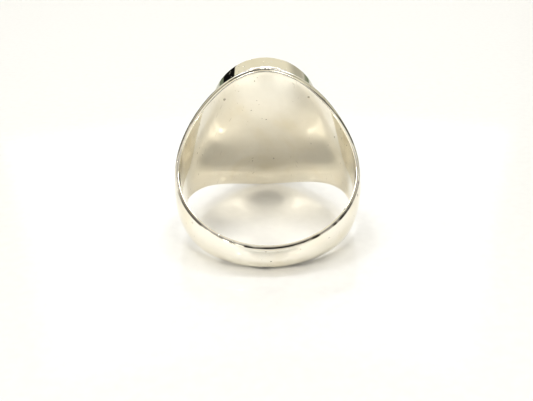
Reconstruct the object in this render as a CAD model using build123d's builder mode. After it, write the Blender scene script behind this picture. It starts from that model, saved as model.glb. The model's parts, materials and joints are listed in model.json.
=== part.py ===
from build123d import *
from math import asin, atan2, cos, hypot, pi, sin, tan
import os

# A stone-set signet ring lying on its side, in millimetres.
# +Z is up and z = 0 is the surface it lies on. The head points towards +Y and
# the shank towards -Y. The ring is the same on both sides of the plane x = 0.

# Band
finger_radius = 9.75
edge_thickness = 0.42
edge_rounding = 0.12
head_height = 18.26
shank_width = 3.2
head_thickness = 1.62
side_thickness = 0.74
shank_thickness = 1.08

# How fast the band narrows from the head to the shank: a steep part that shapes
# the shoulders and a slow part that shapes the sides and the shank.
shoulder_share = 0.62
shoulder_power = 4.7
side_power = 0.9

# Bezel, bearing and stone; levels are measured from the axis of the finger hole
bezel_width = 14.0
bezel_height = 17.76
bezel_wall = 0.5
lip_level = 13.0
lip_turn_in = 0.3
lip_rounding = 0.14
foot_level = 7.5
bearing_wall = 0.8
bearing_level = 11.75
girdle_height = 0.75
stone_gap = 0.03
stone_bevel_level = 13.2
stone_dome_height = 0.55
stone_dome_steps = 6
solder_size = 0.22
fill_gap = 0.03

# The band is lofted through cross sections this many degrees apart, each with
# this many points on either side of its middle, and the finger hole is cut after.
section_step = 15
section_samples = 8
inside_allowance = 0.6

os.makedirs("parts", exist_ok=True)


def half_width(angle):
    """Half the band's width along the finger, at an angle from the head."""
    openness = (1 + cos(angle)) / 2
    steep = shoulder_share * openness**shoulder_power
    slow = (1 - shoulder_share) * openness**side_power
    return shank_width / 2 + (head_height - shank_width) / 2 * (steep + slow)


def crown(angle):
    """Height of the band's domed outside above its edges."""
    thickest = head_thickness if angle < pi / 2 else shank_thickness
    return side_thickness - edge_thickness + (thickest - side_thickness) * cos(angle) ** 2


def crown_power(angle):
    """2 gives the shank's round dome; more gives the head's flat face with round edges."""
    return 2 + 4 * max(cos(angle), 0)


def outer_radius(angle, share, extra=0):
    """Radius of the outside, with share from -1 to 1 across the band's width."""
    power = crown_power(angle)
    rise = (1 - abs(share) ** power) ** (2 / power)
    return finger_radius + edge_thickness + crown(angle) * rise + extra


# The ring lies on the rounded inner corner of its head and the outer corner of
# its shank, which sets how far the finger hole leans and how high it sits.
head_contact = finger_radius + edge_rounding
head_drop = head_height / 2 - edge_rounding
shank_contact = finger_radius + edge_thickness
contact_rise = head_drop - shank_width / 2
contact_span = head_contact + shank_contact
lean = atan2(contact_rise, contact_span) + asin(edge_rounding / hypot(contact_rise, contact_span))
hole_height = head_drop * cos(lean) - head_contact * sin(lean) + edge_rounding

# The row's origin is under the middle of the ring's length.
shank_crown = shank_thickness - edge_thickness
widest_share = shank_width * tan(lean) / (4 * shank_crown)
shank_reach = (shank_contact + shank_crown * (1 - widest_share**2)) * cos(lean)
shank_reach += shank_width / 2 * widest_share * sin(lean)
head_reach = lip_level * cos(lean) + bezel_height / 2 * sin(lean)
hole_setback = (shank_reach - head_reach) / 2

ring_plane = Plane(
    origin=(0, hole_setback, hole_height),
    x_dir=(1, 0, 0),
    z_dir=(0, -sin(lean), cos(lean)),
)
# Looking out through the head: x across the ring, y up along the finger.
face_plane = Plane(
    origin=ring_plane.origin,
    x_dir=(1, 0, 0),
    z_dir=ring_plane.y_dir,
)
outward = Axis(origin=ring_plane.origin, direction=face_plane.z_dir)


def section_plane(angle):
    """The band's cross section: x outwards from the hole's axis, y along the finger."""
    outwards = ring_plane.x_dir * sin(angle) + ring_plane.y_dir * cos(angle)
    return Plane(origin=ring_plane.origin, x_dir=outwards, z_dir=outwards.cross(ring_plane.z_dir))


def band_blank(extra=0):
    """The band before its finger hole is cut; extra thickens the outside.

    One side is lofted from the head round to the shank and mirrored.
    """
    with BuildPart(mode=Mode.PRIVATE) as blank:
        for step in range(180 // section_step + 1):
            angle = step * section_step * pi / 180
            half = half_width(angle)
            inside = finger_radius - inside_allowance
            outside = []
            for sample in range(-section_samples, section_samples + 1):
                share = sin(pi / 2 * sample / section_samples)
                outside.append((outer_radius(angle, share, extra), share * half))
            with BuildSketch(section_plane(angle)):
                with BuildLine():
                    Spline(outside)
                    Polyline(outside[-1], (inside, half), (inside, -half), outside[0])
                make_face()
        loft()
        mirror(about=Plane.YZ)
    return blank.part


def oval_plane(level):
    """The plane square to the head's outward direction, at a level."""
    return face_plane.offset(level)


def shrunk(oval, inset):
    """An oval (width, height) with its edge moved in all round."""
    return (oval[0] - 2 * inset, oval[1] - 2 * inset)


def oval_block(oval, from_level, to_level):
    """A straight oval block along the head's outward direction."""
    with BuildPart(mode=Mode.PRIVATE) as block:
        with BuildSketch(oval_plane(from_level)):
            Ellipse(oval[0] / 2, oval[1] / 2)
        extrude(amount=to_level - from_level)
    return block.part


def oval_cone(lower, upper, from_level, to_level):
    """An oval block whose oval changes evenly from one level to the other."""
    with BuildPart(mode=Mode.PRIVATE) as block:
        with BuildSketch(oval_plane(from_level)):
            Ellipse(lower[0] / 2, lower[1] / 2)
        with BuildSketch(oval_plane(to_level)):
            Ellipse(upper[0] / 2, upper[1] / 2)
        loft(ruled=True)
    return block.part


with BuildPart(mode=Mode.PRIVATE) as finger_hole:
    with BuildSketch(ring_plane.offset(-head_height)):
        Circle(finger_radius)
    extrude(amount=2 * head_height)

blank = band_blank()
bezel_oval = (bezel_width, bezel_height)
pocket_oval = shrunk(bezel_oval, bezel_wall)
mouth_oval = shrunk(pocket_oval, lip_turn_in)
girdle_level = bearing_level + girdle_height

# The band: shank, shoulders and the closed back behind the stone, in one casting
with BuildPart() as band:
    add(blank)
    add(finger_hole.part, mode=Mode.SUBTRACT)
    hole_wall = band.faces().filter_by(GeomType.CYLINDER)
    rims = [edge for edge in hole_wall.edges() if abs(edge.center().X) > edge_rounding]
    fillet(rims, edge_rounding)
band.part.label = "band"
export_step(band.part, "parts/band.step")

# The bezel: an oval collar fitted to the band's curve and turned in over the stone
with BuildPart() as bezel:
    add(oval_block(bezel_oval, foot_level, lip_level))
    fillet(bezel.faces().sort_by(outward)[-1].edges(), lip_rounding)
    add(oval_block(pocket_oval, foot_level, girdle_level), mode=Mode.SUBTRACT)
    add(oval_cone(pocket_oval, mouth_oval, girdle_level, lip_level), mode=Mode.SUBTRACT)
    add(blank, mode=Mode.SUBTRACT)
    add(finger_hole.part, mode=Mode.SUBTRACT)
bezel.part.label = "bezel"
export_step(bezel.part, "parts/bezel.step")

# The bearing: an inner oval strip that holds the stone level
with BuildPart() as bearing:
    add(oval_block(pocket_oval, foot_level, bearing_level))
    add(oval_block(shrunk(pocket_oval, bearing_wall), foot_level, bearing_level), mode=Mode.SUBTRACT)
    add(blank, mode=Mode.SUBTRACT)
    add(finger_hole.part, mode=Mode.SUBTRACT)
bearing.part.label = "stone_bearing"
export_step(bearing.part, "parts/stone_bearing.step")

# The fill: cement that backs the stone inside the bearing
with BuildPart() as fill:
    add(oval_block(shrunk(pocket_oval, bearing_wall), foot_level, bearing_level - fill_gap))
    add(blank, mode=Mode.SUBTRACT)
    add(finger_hole.part, mode=Mode.SUBTRACT)
fill.part.label = "stone_cement"
export_step(fill.part, "parts/stone_cement.step")

# The solder: a small fillet round the foot of the bezel
with BuildPart() as solder:
    add(band_blank(solder_size))
    add(oval_block(shrunk(bezel_oval, -solder_size), foot_level, lip_level), mode=Mode.INTERSECT)
    add(oval_block(bezel_oval, foot_level, lip_level), mode=Mode.SUBTRACT)
    add(blank, mode=Mode.SUBTRACT)
solder.part.label = "bezel_solder"
export_step(solder.part, "parts/bezel_solder.step")

# The stone: an oval with a straight girdle, a bevel under the lip and a low dome
girdle_oval = shrunk(pocket_oval, stone_gap)
girdle_top = girdle_level - stone_gap
bevel_slope = lip_turn_in / (lip_level - girdle_level)
bevel_oval = shrunk(girdle_oval, bevel_slope * (stone_bevel_level - girdle_top))
with BuildPart() as stone:
    add(oval_block(girdle_oval, bearing_level, girdle_top))
    add(oval_cone(girdle_oval, bevel_oval, girdle_top, stone_bevel_level))
    for step in range(stone_dome_steps):
        reach = 1 - step / stone_dome_steps
        level = stone_bevel_level + stone_dome_height * (1 - reach**2)
        with BuildSketch(oval_plane(level)):
            Ellipse(bevel_oval[0] / 2 * reach, bevel_oval[1] / 2 * reach)
    loft()
stone.part.label = "stone"
export_step(stone.part, "parts/stone.step")
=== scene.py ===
import json
import math

import bpy
import numpy as np
from mathutils import Matrix, Vector


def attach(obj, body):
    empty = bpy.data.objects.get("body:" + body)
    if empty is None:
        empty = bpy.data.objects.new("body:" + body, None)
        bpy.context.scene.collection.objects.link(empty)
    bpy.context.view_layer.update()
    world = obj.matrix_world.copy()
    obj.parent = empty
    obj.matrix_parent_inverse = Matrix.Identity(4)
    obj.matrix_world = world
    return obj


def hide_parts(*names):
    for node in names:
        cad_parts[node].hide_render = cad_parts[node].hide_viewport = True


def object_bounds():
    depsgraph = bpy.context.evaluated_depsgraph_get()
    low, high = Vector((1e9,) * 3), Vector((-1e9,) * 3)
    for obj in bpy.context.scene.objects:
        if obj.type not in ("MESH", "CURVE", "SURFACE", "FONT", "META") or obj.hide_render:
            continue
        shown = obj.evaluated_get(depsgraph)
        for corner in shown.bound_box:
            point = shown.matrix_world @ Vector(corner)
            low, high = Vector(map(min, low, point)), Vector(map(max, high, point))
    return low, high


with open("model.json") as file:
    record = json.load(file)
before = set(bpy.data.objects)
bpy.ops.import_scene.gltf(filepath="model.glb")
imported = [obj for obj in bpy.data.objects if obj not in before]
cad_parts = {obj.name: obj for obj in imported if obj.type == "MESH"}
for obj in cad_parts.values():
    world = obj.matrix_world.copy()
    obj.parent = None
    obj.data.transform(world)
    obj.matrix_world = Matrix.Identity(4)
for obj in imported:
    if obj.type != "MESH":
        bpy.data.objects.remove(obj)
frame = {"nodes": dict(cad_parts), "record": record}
cad_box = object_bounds()

# ---------------------------------------------------------------- the ring's own frame
# across the ring, outwards through the head, and along the finger
MM = 0.001
finger_hole = frame["record"]["mounts"][0]
centre = Vector(finger_hole["pos_m"])
along = Vector(finger_hole["axis"]).normalized()
across = Vector((1, 0, 0))
outwards = along.cross(across).normalized()
lean = math.acos(along.z)
finger_radius = finger_hole["dims"]["r_mm"]

# Sizes in millimetres, and the band's shares and powers, as in the CAD source
edge_thickness = 0.42
edge_rounding = 0.12
head_height = 18.26
shank_width = 3.2
head_thickness = 1.62
side_thickness = 0.74
shank_thickness = 1.08
shoulder_share = 0.62
shoulder_power = 4.7
side_power = 0.9
bezel_oval = (14.0, 17.76)
bezel_wall = 0.5
lip_level = 13.0
lip_turn_in = 0.3
lip_rounding = 0.14
bearing_level = 11.75
girdle_height = 0.75
stone_gap = 0.03
stone_bevel_level = 13.2
stone_dome_height = 0.55
solder_size = 0.22

# Hand finishing: the outer edges are broken by the polishing wheel, the polished walls
# are left very slightly wavy, the bezel leans in where it was burnished over the stone,
# and the solder ran unevenly round its foot. Lengths are in millimetres, the spans of
# painted dark reflection in degrees, and the tarnish, painted shade and solder are shares.
head_edge_rounding = 0.2
shank_edge_rounding = 0.09
wave_height = 0.011
wave_seed = 7
# The edges are painted darker in patches, partly as tarnish and partly as painted shade: painted dark
# reflections on two spans of the upper edge, a painted contact shadow under the shank, and painted shade in
# the crease at the bezel's foot and on its lip.
tarnish_and_shade_reach = 0.16
tarnish_and_shade_at_edge = 1.2
painted_shade_strength = 2.5
painted_foot_shade = 0.8
painted_lip_shade = 0.35
painted_reflection_spans = ((128, 27), (-28, 32))
burnished = 0.025
solder_unevenness = 0.35
solder_surplus = 0.3
solder_seed = 3
edge_wear = "edge_wear"

# Parts of the meshes that nobody sees, in millimetres: how far a foot is let into the
# band, how far the solder is let into the bezel, and where the bezel's inside wall
# turns to follow the band, below the stone's bearing
sunk_foot = 0.05
solder_overlap = 0.03
hidden_drop = 1

# How finely the meshes are made
band_turns = 720
oval_turns = 720
foot_steps = 30


def in_frame(points):
    """Points in the ring's own millimetres (across, outwards, along) to the row frame in metres."""
    basis = np.array([across, outwards, along])
    return np.asarray(points) @ basis * MM + np.array(centre)


def half_width(angle):
    """Half the band's width along the finger, at an angle from the head."""
    openness = (1 + np.cos(angle)) / 2
    steep = shoulder_share * openness**shoulder_power
    slow = (1 - shoulder_share) * openness**side_power
    return shank_width / 2 + (head_height - shank_width) / 2 * (steep + slow)


def crown(angle):
    """Height of the band's domed outside above its edges."""
    thickest = np.where(np.cos(angle) > 0, head_thickness, shank_thickness)
    return side_thickness - edge_thickness + (thickest - side_thickness) * np.cos(angle) ** 2


def outer_radius(angle, share):
    """Radius of the outside, with share from -1 to 1 across the band's width."""
    power = 2 + 4 * np.maximum(np.cos(angle), 0)
    rise = np.maximum(1 - np.abs(share) ** power, 0) ** (2 / power)
    return finger_radius + edge_thickness + crown(angle) * rise


def waves(angle, height, seed):
    """Gentle unevenness of a hand-polished wall, within -1.4 to 1.4 and seamless round the ring."""
    chance = np.random.default_rng(seed)
    total = 0
    for count in (2, 3, 5, 7, 9, 12):
        pitch = chance.uniform(0.25, 0.9)
        turn_phase, rise_phase = chance.uniform(0, 2 * np.pi, 2)
        total = total + np.sin(count * angle + turn_phase) * np.sin(pitch * height + rise_phase) / count
    return total


def lumps(turn, seed):
    """Unevenness of a hand-run seam, within -1.7 to 1.7 and seamless round the oval."""
    chance = np.random.default_rng(seed)
    counts = (11, 17, 26, 41, 67)
    return sum(np.sin(count * turn + chance.uniform(0, 2 * np.pi)) for count in counts) / 3


# ---------------------------------------------------------------- meshes
def grid_mesh(name, rows, closed_rows=True, tips=None):
    """A smooth mesh from rings of points, each ring closed, in the ring's own millimetres.

    Open rows can be closed at both ends by a fan of triangles to a tip.
    """
    rows = np.asarray(rows, float)
    count, width = rows.shape[:2]
    index = np.arange(count * width).reshape(count, width)
    here = index if closed_rows else index[:-1]
    down = np.roll(index, -1, 0) if closed_rows else index[1:]
    quads = np.stack([here, np.roll(here, -1, 1), np.roll(down, -1, 1), down], -1)
    faces = quads.reshape(-1, 4).tolist()
    points = rows.reshape(-1, 3)
    if tips is not None:
        first, last = index[0], index[-1]
        tip = count * width
        faces += [(tip, b, a) for a, b in zip(first.tolist(), np.roll(first, -1).tolist())]
        faces += [(tip + 1, a, b) for a, b in zip(last.tolist(), np.roll(last, -1).tolist())]
        points = np.concatenate([points, np.asarray(tips, float)])
    mesh = bpy.data.meshes.new(name)
    mesh.from_pydata(in_frame(points).tolist(), [], faces)
    mesh.update()
    mesh.shade_smooth()
    piece = bpy.data.objects.new(name, mesh)
    bpy.context.scene.collection.objects.link(piece)
    return piece


def mark_tarnish_and_shade(piece, wear):
    """Keep how dark each point of a grid is painted, as tarnish and as painted shade; over 1 closes gaps
    between the patches.
    """
    values = np.asarray(wear, float).ravel()
    piece.data.attributes.new(edge_wear, "FLOAT", "POINT").data.foreach_set("value", values)


def broken_edge(angle):
    """Width of the broken outer edge, at an angle from the head."""
    openness = (1 + np.cos(angle)) / 2
    return shank_edge_rounding + (head_edge_rounding - shank_edge_rounding) * openness


def edge_curve(start, corner, end, steps=6):
    """A broken edge: a short curve that leaves start and reaches end along the two walls."""
    t = np.linspace(0, 1, steps)[None]
    return start * (1 - t) ** 2 + 2 * corner * t * (1 - t) + end * t**2


def painted_shade_weight(angle, height):
    """0 to 1: where the edges are painted darker still, with painted dark reflections on two spans of the
    upper edge and a painted contact shadow under the shank.

    A span is (middle, half length), in degrees round the finger hole from the head.
    """
    weight = painted_contact_shadow(angle, height)
    for middle, reach in painted_reflection_spans:
        away = np.abs((np.degrees(angle) - middle + 180) % 360 - 180)
        weight = weight + np.clip((reach - away) / 4, 0, 1) * (height > 0)
    return np.clip(weight, 0, 1)


def painted_contact_shadow(angle, height):
    """1 along the lower edge of the shank, where a contact shadow is painted, falling to 0 towards the
    sides.
    """
    return np.maximum(-np.cos(angle), 0) ** 4 * (height < 0)


def band_piece():
    """The band's section, carried once round the finger hole."""
    angle = np.linspace(0, 2 * np.pi, band_turns, endpoint=False)[:, None]
    half = half_width(angle)
    wall = np.linspace(-1, 1, 49)[None]
    corner = np.linspace(0, np.pi / 2, 7)[None]
    lost = broken_edge(angle)
    broken = 1 - lost / half
    share = broken * np.sin(np.linspace(-np.pi / 2, np.pi / 2, 57))[None]
    r = edge_rounding
    flat = half - r
    outside_edge = finger_radius + edge_thickness
    domed = outer_radius(angle, broken)
    unevenness = wave_height * waves(angle, wall * flat, wave_seed) * (1 - wall**8)
    # inside wall, rounded rim, side, broken edge, domed outside, and back the same way
    radial = [finger_radius + unevenness]
    height = [wall * flat]
    radial.append(finger_radius + r - r * np.cos(corner[:, 1:]) + 0 * half)
    height.append(flat + r * np.sin(corner[:, 1:]))
    radial.append(edge_curve(outside_edge - lost, outside_edge, domed))
    height.append(edge_curve(half, half, half - lost))
    polish = wave_height * waves(angle, share[:, 1:-1] * half, wave_seed + 1)
    radial.append((outer_radius(angle, share)[:, 1:-1] + polish)[:, ::-1])
    height.append((share * half)[:, 1:-1][:, ::-1])
    radial.append(edge_curve(domed, outside_edge, outside_edge - lost))
    height.append(-edge_curve(half - lost, half, half))
    radial.append(finger_radius + r - r * np.sin(corner[:, :-1]) + 0 * half)
    height.append(-flat - r * np.cos(corner[:, :-1]))
    radial = np.concatenate([part + 0 * half for part in radial], 1)
    height = np.concatenate([part + 0 * half for part in height], 1)
    points = np.stack([radial * np.sin(angle), radial * np.cos(angle), height], -1)
    band = grid_mesh("ring_band", points)
    # Edges painted darker as tarnish and as painted shade, reaching further and heavier where the painted
    # contact shadow and painted dark reflections lie
    from_edge = np.hypot(radial - outside_edge, np.abs(height) - half)
    reach = tarnish_and_shade_reach * (1 + 2 * painted_contact_shadow(angle, height))
    heaviness = 1 + (painted_shade_strength - 1) * painted_shade_weight(angle, height)
    mark_tarnish_and_shade(band, heaviness * np.clip(tarnish_and_shade_at_edge - from_edge / reach, 0, 1))
    return band


def foot_level(x, z):
    """Where a line along the head's direction meets the band's outside."""
    y = np.sqrt(np.maximum(finger_radius**2 - x**2, 0)) + 1
    for _ in range(foot_steps):
        angle = np.arctan2(x, y)
        share = np.clip(z / half_width(angle), -1, 1)
        y = np.sqrt(np.maximum(outer_radius(angle, share) ** 2 - x**2, 0))
    return y


def oval_ring(inset, level):
    """A ring of points on the bezel's oval, moved in by inset, at a level or at the band's outside."""
    turn = np.linspace(0, 2 * np.pi, oval_turns, endpoint=False)
    x = (bezel_oval[0] / 2 - inset) * np.cos(turn)
    z = (bezel_oval[1] / 2 - inset) * np.sin(turn)
    y = level(x, z) if callable(level) else level + 0 * x
    return np.stack([x, y, z], -1)


def sunk(x, z):
    """A foot let a little way into the band, so that no light passes under it."""
    return foot_level(x, z) - sunk_foot


def bezel_piece():
    """The collar: outside wall from the band's curve, rounded lip, bevel over the stone, inside wall."""
    r = lip_rounding
    foot = oval_ring(0, sunk)
    top = oval_ring(burnished, lip_level - r)
    girdle = bearing_level + girdle_height
    mouth = bezel_wall + lip_turn_in
    rows = []
    for share in np.linspace(0, 1, 17):
        rows.append(foot + (top - foot) * np.array([share**2, share, share**2]))
    for turn in np.linspace(0, np.pi / 2, 7)[1:]:
        rows.append(oval_ring(burnished + r - r * math.cos(turn), lip_level - r + r * math.sin(turn)))
    for turn in np.linspace(0, np.pi / 2, 7):
        rows.append(oval_ring(mouth - r + r * math.sin(turn), lip_level - r + r * math.cos(turn)))
    rows.append(oval_ring(bezel_wall, girdle))
    rows.append(oval_ring(bezel_wall, bearing_level - hidden_drop))
    rows.append(oval_ring(bezel_wall, sunk))
    bezel = grid_mesh("oval_bezel", rows[::-1])
    # Painted shade in the crease at the bezel's foot, above the solder, and on its lip
    above_foot = rows[0][None, :, 1] + sunk_foot + solder_size
    depth = (above_foot - np.array(rows)[:, :, 1]) / solder_size
    lip = np.array(rows)[:, :, 1] > lip_level - r
    mark_tarnish_and_shade(bezel, (painted_foot_shade * np.clip(depth, 0, 1) + painted_lip_shade * lip)[::-1])
    return bezel


def solder_piece():
    """A small hollow fillet between the bezel's wall and the band."""
    around = np.linspace(0, 2 * np.pi, oval_turns, endpoint=False)
    surplus = solder_surplus * np.maximum(np.cos(around - math.pi / 3), 0)
    size = solder_size * (1 + surplus + solder_unevenness * lumps(around, solder_seed))
    rise = size[:, None] * np.array([0, 1, 0])
    rows = []
    for turn in np.linspace(0, np.pi / 2, 9):
        ring = oval_ring(-size * (1 - math.sin(turn)), foot_level)
        rows.append(ring + rise * (1 - math.cos(turn)))
    rows.append(oval_ring(solder_overlap, foot_level) + rise)
    rows.append(oval_ring(solder_overlap, sunk))
    rows.append(oval_ring(-size, sunk))
    return grid_mesh("bezel_solder_fillet", rows[::-1])


def stone_piece():
    """The stone: girdle, bevel under the lip and a low polished dome."""
    girdle_inset = bezel_wall + stone_gap
    girdle_top = bearing_level + girdle_height - stone_gap
    slope = lip_turn_in / (lip_level - girdle_top - stone_gap)
    bevel_inset = girdle_inset + slope * (stone_bevel_level - girdle_top)
    rows = [oval_ring(girdle_inset, bearing_level), oval_ring(girdle_inset, girdle_top)]
    edge = oval_ring(bevel_inset, stone_bevel_level)
    for reach in np.linspace(1, 0, 40)[:-1]:
        level = stone_bevel_level + stone_dome_height * (1 - reach**2)
        rows.append(np.stack([edge[:, 0] * reach, level + 0 * edge[:, 1], edge[:, 2] * reach], -1))
    tips = [(0, stone_bevel_level + stone_dome_height, 0), (0, bearing_level, 0)]
    return grid_mesh("oval_stone", rows[::-1], closed_rows=False, tips=tips)


# ---------------------------------------------------------------- materials
class Paint:
    """A new node material, with short calls for the nodes that the materials here share."""

    def __init__(self, name):
        self.material = bpy.data.materials.new(name)
        self.material.use_nodes = True
        self.nodes = self.material.node_tree.nodes
        self.links = self.material.node_tree.links
        self.shader = self.nodes["Principled BSDF"]
        self.object = self.nodes.new("ShaderNodeTexCoord").outputs["Object"]

    def put(self, socket, value):
        """Set a socket to a value, or link another node's output to it."""
        if isinstance(value, bpy.types.NodeSocket):
            self.links.new(value, socket)
        else:
            socket.default_value = value

    def noise(self, scale, detail=3.0, where=None, distortion=0.0):
        """Smooth random values from 0 to 1."""
        node = self.nodes.new("ShaderNodeTexNoise")
        self.put(node.inputs["Vector"], where or self.object)
        self.put(node.inputs["Scale"], scale)
        self.put(node.inputs["Detail"], detail)
        self.put(node.inputs["Distortion"], distortion)
        return node.outputs["Fac"]

    def cells(self, scale, where=None):
        """Distance from the middle of the nearest scattered point."""
        node = self.nodes.new("ShaderNodeTexVoronoi")
        self.put(node.inputs["Vector"], where or self.object)
        self.put(node.inputs["Scale"], scale)
        return node.outputs["Distance"]

    def stretched(self, turn, size):
        """Object coordinates turned by Euler angles, then scaled along each axis."""
        node = self.nodes.new("ShaderNodeMapping")
        self.put(node.inputs["Vector"], self.object)
        node.inputs["Rotation"].default_value = turn
        node.inputs["Scale"].default_value = size
        return node.outputs["Vector"]

    def spread(self, value, low, high, to_low=0.0, to_high=1.0):
        """A value between low and high mapped to a new range, and held there outside it."""
        node = self.nodes.new("ShaderNodeMapRange")
        self.put(node.inputs["Value"], value)
        sockets = ("From Min", "From Max", "To Min", "To Max")
        for socket, number in zip(sockets, (low, high, to_low, to_high)):
            self.put(node.inputs[socket], number)
        return node.outputs["Result"]

    def sums(self, operation, first, second):
        """The result of a sum on two values."""
        node = self.nodes.new("ShaderNodeMath")
        node.operation = operation
        self.put(node.inputs[0], first)
        self.put(node.inputs[1], second)
        return node.outputs["Value"]

    def ramp(self, value, *stops):
        """Colours along a value, given as (place, (red, green, blue)) stops."""
        node = self.nodes.new("ShaderNodeValToRGB")
        self.put(node.inputs["Fac"], value)
        marks = node.color_ramp.elements
        while len(marks) < len(stops):
            marks.new(0.5)
        for mark, (place, colour) in zip(marks, stops):
            mark.position = place
            mark.color = (*colour, 1)
        return node.outputs["Color"]

    def mix(self, share, first, second):
        """One colour giving way to another."""
        node = self.nodes.new("ShaderNodeMix")
        node.data_type = "RGBA"
        first_colour, second_colour, result = node.inputs[6], node.inputs[7], node.outputs[2]
        self.put(node.inputs[0], share)
        self.put(first_colour, first)
        self.put(second_colour, second)
        return result

    def bump(self, height, distance, strength=1.0, normal=None):
        """A normal tilted by a height, which may start from another normal."""
        node = self.nodes.new("ShaderNodeBump")
        self.put(node.inputs["Height"], height)
        self.put(node.inputs["Distance"], distance)
        self.put(node.inputs["Strength"], strength)
        if normal is not None:
            self.put(node.inputs["Normal"], normal)
        return node.outputs["Normal"]

    def finish(self, **sockets):
        """Set the shader's sockets, named with underscores for spaces."""
        for name, value in sockets.items():
            self.put(self.shader.inputs[name.replace("_", " ")], value)
        return self.material


def silver_material():
    """Polished silver: wheel lines, hair scratches, dirty pits, smudges, and edges painted darker as
    tarnish and as painted shade.
    """
    scratch_grey = (0.45, 0.42, 0.36, 1)
    dirt_brown = (0.10, 0.075, 0.05, 1)
    tarnish_and_shade_black = (0.05, 0.042, 0.032, 1)
    paint = Paint("polished_silver")
    lines = paint.noise(1.0, 2.0, paint.stretched((-lean, 0, 0), (90, 90, 9000)))
    hairs = 0.0
    for turn, size in (((0.4, 0.3, 0.7), (2600, 70, 500)), ((1.2, -0.5, 0.2), (600, 2400, 60))):
        hair = paint.cells(1.0, paint.stretched(turn, size))
        hairs = paint.sums("MAXIMUM", hairs, paint.spread(hair, 0.14, 0.0))
    fewer = paint.spread(paint.noise(420, 1.0), 0.48, 0.6)
    hairs = paint.sums("MULTIPLY", hairs, fewer)
    ragged = paint.spread(paint.noise(7000, 2.0), 0.3, 0.7, 0, 0.22)
    from_pit = paint.sums("ADD", paint.cells(1700), ragged)
    pits = paint.spread(from_pit, 0.24, 0.12)
    pitted = paint.sums("MULTIPLY", pits, paint.spread(paint.noise(260, 2.0), 0.54, 0.6))
    from_speck = paint.sums("ADD", paint.cells(330), paint.spread(ragged, 0, 0.22, 0, 0.045))
    specks = paint.spread(from_speck, 0.08, 0.04)
    dirty = paint.sums("MAXIMUM", pitted, specks)
    smudge = paint.noise(170, 4.0, distortion=0.6)
    normal = paint.bump(lines, 0.0000018, 0.5)
    marks = paint.sums("ADD", hairs, paint.sums("MULTIPLY", dirty, 6.0))
    normal = paint.bump(marks, -0.000005, 0.8, normal)
    polish = paint.ramp(
        smudge, (0.35, (0.955, 0.93, 0.85)), (0.55, (0.945, 0.91, 0.82)), (0.75, (0.90, 0.85, 0.72))
    )
    dirt = paint.sums("MULTIPLY", dirty, paint.spread(paint.noise(900, 1.0), 0.4, 0.6, 0.35, 0.95))
    scratched = paint.mix(paint.sums("MULTIPLY", hairs, 0.45), polish, scratch_grey)
    spotted = paint.mix(dirt, scratched, dirt_brown)
    # Edges darkened by each point's tarnish and painted shade, broken into patches
    edge = paint.nodes.new("ShaderNodeAttribute")
    edge.attribute_name = edge_wear
    patches = paint.spread(paint.noise(240, 3.0), 0.44, 0.58, 0.25, 1.0)
    tarnish_and_shade_share = paint.sums("MULTIPLY", edge.outputs["Fac"], patches)
    tone = paint.mix(tarnish_and_shade_share, spotted, tarnish_and_shade_black)
    worn = paint.spread(marks, 0, 1, 0, 0.14)
    roughness = paint.sums("ADD", paint.spread(smudge, 0.4, 0.75, 0.006, 0.03), worn)
    return paint.finish(Base_Color=tone, Metallic=1.0, Roughness=roughness, Normal=normal)


def solder_material():
    """Silver solder: duller than the silver, grainy, with small flow ripples and dark pinholes."""
    pinhole_brown = (0.16, 0.13, 0.09, 1)
    paint = Paint("silver_solder")
    flow = paint.noise(2600, 3.0, distortion=0.4)
    pinholes = paint.spread(paint.cells(2600), 0.16, 0.06)
    bright = paint.ramp(flow, (0.35, (0.96, 0.94, 0.88)), (0.7, (0.82, 0.77, 0.66)))
    tone = paint.mix(pinholes, bright, pinhole_brown)
    normal = paint.bump(flow, 0.00004, 0.8)
    normal = paint.bump(pinholes, -0.00002, 0.4, normal)
    roughness = paint.spread(flow, 0.3, 0.7, 0.14, 0.32)
    return paint.finish(Base_Color=tone, Metallic=1.0, Roughness=roughness, Normal=normal)


def stone_material():
    """A polished green stone in wavy light and dark bands, with faint polishing marks."""
    paint = Paint("green_stone")
    drift = paint.noise(260, 4.0, distortion=1.2)
    bands = paint.nodes.new("ShaderNodeTexWave")
    bands.bands_direction = "X"
    paint.put(bands.inputs["Vector"], paint.object)
    paint.put(bands.inputs["Scale"], 260.0)
    paint.put(bands.inputs["Distortion"], 7.0)
    paint.put(bands.inputs["Detail"], 3.0)
    paint.put(bands.inputs["Detail Scale"], 1.2)
    banded = paint.spread(bands.outputs["Fac"], 0, 1, 0, 0.6)
    layered = paint.sums("ADD", banded, paint.spread(drift, 0, 1, 0, 0.4))
    tone = paint.ramp(
        layered,
        (0.18, (0.008, 0.055, 0.028)),
        (0.42, (0.016, 0.125, 0.062)),
        (0.62, (0.045, 0.24, 0.13)),
        (0.85, (0.13, 0.42, 0.25)),
    )
    marks = paint.noise(6000, 2.0)
    normal = paint.bump(marks, 0.000001, 0.4)
    roughness = paint.spread(drift, 0.3, 0.7, 0.05, 0.12)
    return paint.finish(Base_Color=tone, Roughness=roughness, Normal=normal, IOR=1.66)


def cement_material():
    """Dull setting cement, grainy and stained."""
    paint = Paint("cement")
    grain = paint.noise(5000, 4.0)
    tone = paint.ramp(grain, (0.3, (0.30, 0.26, 0.19)), (0.7, (0.46, 0.41, 0.31)))
    return paint.finish(Base_Color=tone, Roughness=0.85, Normal=paint.bump(grain, 0.00003, 0.7))


def floor_material():
    """A pale, smooth sheet with a weak gloss and a barely visible grain."""
    paint = Paint("pale_floor")
    grain = paint.noise(900, 4.0)
    tone = paint.ramp(grain, (0.3, (0.87, 0.87, 0.865)), (0.7, (0.90, 0.90, 0.895)))
    normal = paint.bump(grain, 0.000004, 0.3)
    return paint.finish(Base_Color=tone, Roughness=0.5, Coat_Weight=0.5, Coat_Roughness=0.04, Normal=normal)


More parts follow.
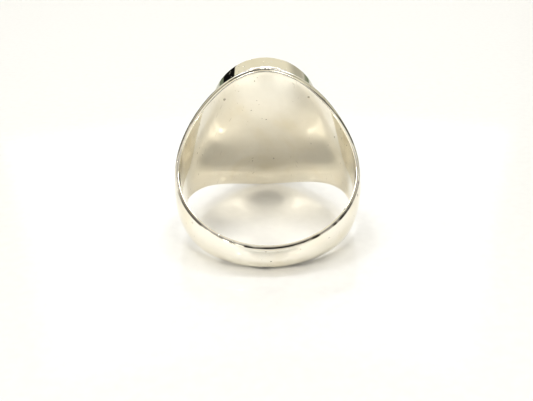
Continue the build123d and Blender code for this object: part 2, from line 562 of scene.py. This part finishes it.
silver = silver_material()
made = [
    (band_piece(), silver, "polished_silver", "band"),
    (bezel_piece(), silver, "polished_silver", "bezel"),
    (solder_piece(), solder_material(), "silver_solder", "bezel_solder"),
    (stone_piece(), stone_material(), "green_stone", "stone"),
]
for piece, material, slot, node in made:
    piece.data.materials.append(material)
    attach(piece, "root")
    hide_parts(node)
for node, material in (("stone_bearing", silver), ("stone_cement", cement_material())):
    frame["nodes"][node].data.materials.clear()
    frame["nodes"][node].data.materials.append(material)


# ---------------------------------------------------------------- floor
def floor_piece():
    """A wide level sheet just under the ring."""
    reach = 1.5
    gap = 0.01 * MM
    level = cad_box[0].z - gap
    sides = ((-reach, -reach), (reach, -reach), (reach, reach), (-reach, reach))
    corners = [(x, y, level) for x, y in sides]
    mesh = bpy.data.meshes.new("floor")
    mesh.from_pydata(corners, [], [(0, 1, 2, 3)])
    piece = bpy.data.objects.new("floor", mesh)
    bpy.context.scene.collection.objects.link(piece)
    piece.data.materials.append(floor_material())
    return piece


floor_piece()


# ---------------------------------------------------------------- light
def studio_light(tent, panels):
    """A soft white tent with lighter and darker panels hung in it.

    A panel is (bearing, rise, width, height, softness) in degrees and its colour. The
    bearing is 0 beyond the ring, 90 to its right and 180 behind the camera. A later
    panel hangs in front of an earlier one.
    """
    world = bpy.data.worlds.new("studio_tent")
    bpy.context.scene.world = world
    world.use_nodes = True
    nodes, links = world.node_tree.nodes, world.node_tree.links

    def work(operation, *values):
        """The result of a sum on numbers or other nodes' outputs."""
        node = nodes.new("ShaderNodeMath")
        node.operation = operation
        for socket, value in zip(node.inputs, values):
            if isinstance(value, bpy.types.NodeSocket):
                links.new(value, socket)
            else:
                socket.default_value = value
        return node.outputs[0]

    def inside(offset, size, softness):
        """1 within half the size of the middle, falling to 0 across the softness."""
        node = nodes.new("ShaderNodeMapRange")
        node.interpolation_type = "SMOOTHSTEP"
        links.new(offset, node.inputs["Value"])
        node.inputs["From Min"].default_value = math.radians(size + softness) / 2
        node.inputs["From Max"].default_value = math.radians(size - softness) / 2
        return node.outputs["Result"]

    split = nodes.new("ShaderNodeSeparateXYZ")
    links.new(nodes.new("ShaderNodeTexCoord").outputs["Generated"], split.inputs[0])
    x, y, z = split.outputs
    rise = work("ARCSINE", z)
    bearing = work("ARCTAN2", x, y)
    behind = tent
    for middle, level, width, height, softness, colour in panels:
        turned = work("SUBTRACT", bearing, math.radians(middle))
        around = work("ABSOLUTE", work("WRAP", turned, math.pi, -math.pi))
        above = work("ABSOLUTE", work("SUBTRACT", rise, math.radians(level)))
        mix = nodes.new("ShaderNodeMix")
        mix.data_type = "RGBA"
        mix.clamp_factor = False
        share = work("MULTIPLY", inside(around, width, softness), inside(above, height, softness))
        links.new(share, mix.inputs["Factor"])
        front = mix.inputs[7]
        front.default_value = (*colour, 1)
        if isinstance(behind, tuple):
            mix.inputs[6].default_value = (*behind, 1)
        else:
            links.new(behind, mix.inputs[6])
        behind = mix.outputs[2]
    links.new(behind, nodes["Background"].inputs["Color"])


warm_white = (1.0, 0.97, 0.90)


def lit(strength, colour=warm_white):
    """A panel colour at a strength."""
    return tuple(strength * part for part in colour)


daylight = (0.97, 1.0, 1.06)
shade = (1.0, 0.96, 0.80)
leaf_shade = (0.85, 1.0, 0.72)
studio_light(
    tent=lit(0.9),
    panels=[
        # the tent's bright sides, with a shaded part high on the right
        (-100, 18, 100, 28, 3, lit(1.6)),
        (100, 20, 100, 24, 3, lit(1.5)),
        (86, 42, 62, 22, 4, lit(0.1, shade)),
        # beyond the ring: a window in a beige wall, with darker things low down and at its sides
        (0, 41, 130, 42, 3, lit(0.85, shade)),
        (0, 3, 110, 8, 3, lit(0.25, leaf_shade)),
        (-40, 15, 22, 18, 2, lit(0.01)),
        (40, 17, 26, 22, 16, lit(0.5, shade)),
        (0, 29, 44, 20, 2, lit(1.7, daylight)),
        # two key lights overhead, and the dimmer top of the tent between them
        (-52, 68, 52, 14, 3, lit(6.5, daylight)),
        (52, 68, 52, 14, 3, lit(6.5, daylight)),
        (0, 84, 360, 14, 4, lit(0.55)),
        # the photographer, a strip light at each side of them, and a small lamp outside each strip
        (178, 29, 50, 43, 1, lit(0.03)),
        (-157, 30, 7, 34, 1, lit(2.0)),
        (157, 30, 7, 34, 1, lit(1.8)),
        (-145, 29, 5, 5, 1, lit(16.0)),
        (147, 30, 5, 5, 1, lit(16.0)),
    ],
)


# ---------------------------------------------------------------- camera
def viewpoint():
    """A camera a hand's breadth away, looking down into the finger hole from the shank's side."""
    sensor_width = 36
    focal_length = 661.1 / 533 * sensor_width
    distance = 76.16 * MM
    elevation = math.radians(25.934)
    roll = math.radians(1.182)
    yaw = math.radians(0.618)
    target = Vector((-0.1602, 0, 3.4967)) * MM
    back = Vector((0, -math.cos(elevation), math.sin(elevation)))
    up = Vector((0, math.sin(elevation), math.cos(elevation)))
    sideways = across * math.cos(roll) - up * math.sin(roll)
    upright = across * math.sin(roll) + up * math.cos(roll)
    turn = Matrix.Rotation(-yaw, 3, "Z")
    place = Matrix((turn @ sideways, turn @ upright, turn @ back)).transposed().to_4x4()
    place.translation = turn @ (target + back * distance) + Vector((0, centre.y, 0))
    data = bpy.data.cameras.new("camera")
    data.sensor_width = sensor_width
    data.lens = focal_length
    data.clip_start = 0.005
    data.clip_end = 20
    camera = bpy.data.objects.new("camera", data)
    camera.matrix_world = place
    bpy.context.scene.collection.objects.link(camera)
    bpy.context.scene.camera = camera


viewpoint()
bpy.context.scene.view_settings.view_transform = "Standard"
bpy.context.scene.view_settings.gamma = 0.85

# At their defaults, Cycles' glossy filter and its limit on indirect light together dim
# what the silver throws on the floor and into its own hollow, so both are off.
bpy.context.scene.cycles.blur_glossy = 0.0
bpy.context.scene.cycles.sample_clamp_indirect = 0.0
